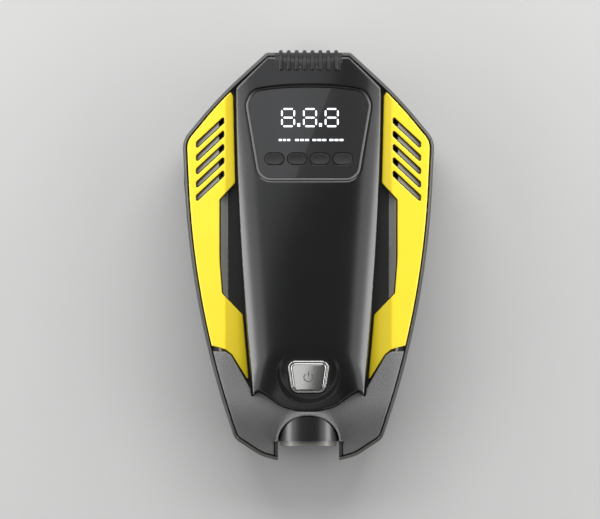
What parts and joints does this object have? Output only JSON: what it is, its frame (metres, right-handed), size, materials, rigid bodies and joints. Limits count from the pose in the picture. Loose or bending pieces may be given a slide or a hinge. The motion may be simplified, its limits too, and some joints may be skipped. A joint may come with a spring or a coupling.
{
  "type": "jump starter pack",
  "caption": "Hand-held jump starter pack with a built-in tyre inflator: shield-shaped housing, raised spine with display and keys, slotted side panels, bumper and lamp.",
  "frame": {"origin": "bottom centre of the bounding box: the pack lies on its four rubber feet", "axes": "+Z out of the display, +Y to the ribbed top end, +X across to the side with the air outlet"},
  "size_m": [0.1256, 0.205, 0.058],
  "materials": {
    "shell": "fine satin texture",
    "spine_black": "satin gloss",
    "panel_yellow": "satin",
    "bumper_rubber": "grained",
    "soft_rubber": "matt",
    "screw_steel": "zinc plated",
    "bezel": "satin",
    "lens": "smoked",
    "board": "solder resist",
    "led_block": "matt",
    "key": "satin",
    "switch_metal": "tinned",
    "power_silver": "satin chrome",
    "component_black": "matt",
    "nickel": "nickel",
    "cell_foil": "laminated foil pouch",
    "tray_nylon": "moulded",
    "motor_steel": "zinc plated",
    "motor_rotor": "turned",
    "gear_nylon": "moulded",
    "pump_aluminium": "die cast",
    "frame_steel": "stamped",
    "hose": "matt",
    "brass": "turned",
    "socket": "moulded",
    "lamp_black": "gloss",
    "lamp_lens": "clear",
    "reflector": "mirror",
    "led": "phosphor"
  },
  "bodies": {
    "housing": {"rear_shell": "shell", "front_shell": "shell", "spine_cover": "spine_black", "left_side_panel": "panel_yellow", "right_side_panel": "panel_yellow", "lower_bumper": "bumper_rubber", "rubber_feet": "soft_rubber", "rear_screws": "screw_steel", "display_bezel": "bezel", "display_lens": "lens", "display_board": "board", "display_module": "led_block", "key_switches": "switch_metal", "power_button_ring": "power_silver", "power_switch": "component_black", "main_board": "board", "relay": "component_black", "capacitors": "component_black", "usb_board": "board", "usb_sockets": "switch_metal", "cell_1": "cell_foil", "cell_2": "cell_foil", "cell_3": "cell_foil", "cell_4": "cell_foil", "battery_tray": "tray_nylon", "battery_straps": "nickel", "motor_can": "motor_steel", "motor_endcap": "tray_nylon", "cylinder_block": "pump_aluminium", "cylinder_head": "pump_aluminium", "pump_frame": "frame_steel", "air_tube": "hose", "air_outlet": "brass", "jump_socket": "socket", "socket_contacts": "brass", "torch_barrel": "lamp_black", "torch_ring": "lamp_black", "torch_lens": "lamp_lens", "torch_reflector": "reflector", "torch_led": "led"},
    "key_1": {"key_1": "key"},
    "key_2": {"key_2": "key"},
    "key_3": {"key_3": "key"},
    "key_4": {"key_4": "key"},
    "power_button": {"power_button": "power_silver"},
    "jump_port_cover": {"jump_port_cover": "soft_rubber"},
    "side_port_cover": {"side_port_cover": "soft_rubber"},
    "motor_pinion": {"motor_pinion": "motor_rotor"},
    "crank_gear": {"crank_gear": "gear_nylon"},
    "connecting_rod": {"connecting_rod": "pump_aluminium"},
    "piston": {"piston": "gear_nylon", "piston_seal": "soft_rubber"}
  },
  "joints": [
    {"name": "key_1_press", "type": "slide", "parent": "housing", "child": "key_1", "axis": [0, 0, -1], "range_m": [0, 0.0006], "stiffness_N_per_m": 800},
    {"name": "key_2_press", "type": "slide", "parent": "housing", "child": "key_2", "axis": [0, 0, -1], "range_m": [0, 0.0006], "stiffness_N_per_m": 800},
    {"name": "key_3_press", "type": "slide", "parent": "housing", "child": "key_3", "axis": [0, 0, -1], "range_m": [0, 0.0006], "stiffness_N_per_m": 800},
    {"name": "key_4_press", "type": "slide", "parent": "housing", "child": "key_4", "axis": [0, 0, -1], "range_m": [0, 0.0006], "stiffness_N_per_m": 800},
    {"name": "power_press", "type": "slide", "parent": "housing", "child": "power_button", "axis": [0, 0.3887, -0.9214], "range_m": [0, 0.001], "stiffness_N_per_m": 1200},
    {"name": "jump_cover_hinge", "type": "hinge", "parent": "housing", "child": "jump_port_cover", "pos_m": [0, 0.1013, 0.025], "axis": [-1, 0, 0], "range_deg": [0, 110]},
    {"name": "side_cover_hinge", "type": "hinge", "parent": "housing", "child": "side_port_cover", "pos_m": [-0.0629, 0.036, 0.011], "axis": [0, -1, 0], "range_deg": [0, 110]},
    {"name": "motor_spin", "type": "hinge", "parent": "housing", "child": "motor_pinion", "pos_m": [0.0145, -0.0262, 0.0215], "axis": [1, 0, 0], "continuous": true},
    {"name": "crank_spin", "type": "hinge", "parent": "housing", "child": "crank_gear", "pos_m": [0.0145, -0.0099, 0.0215], "axis": [1, 0, 0], "continuous": true},
    {"name": "rod_swing", "type": "hinge", "parent": "crank_gear", "child": "connecting_rod", "pos_m": [0.0145, -0.0099, 0.0255], "axis": [1, 0, 0], "continuous": true},
    {"name": "piston_slide", "type": "slide", "parent": "housing", "child": "piston", "axis": [0, 1, 0], "range_m": [-0.004, 0.004]}
  ],
  "couplings": [
    {"joint": "crank_spin", "follows": "motor_spin", "ratio": -0.2},
    {"joint": "rod_swing", "follows": "motor_spin", "ratio": 0.2}
  ]
}
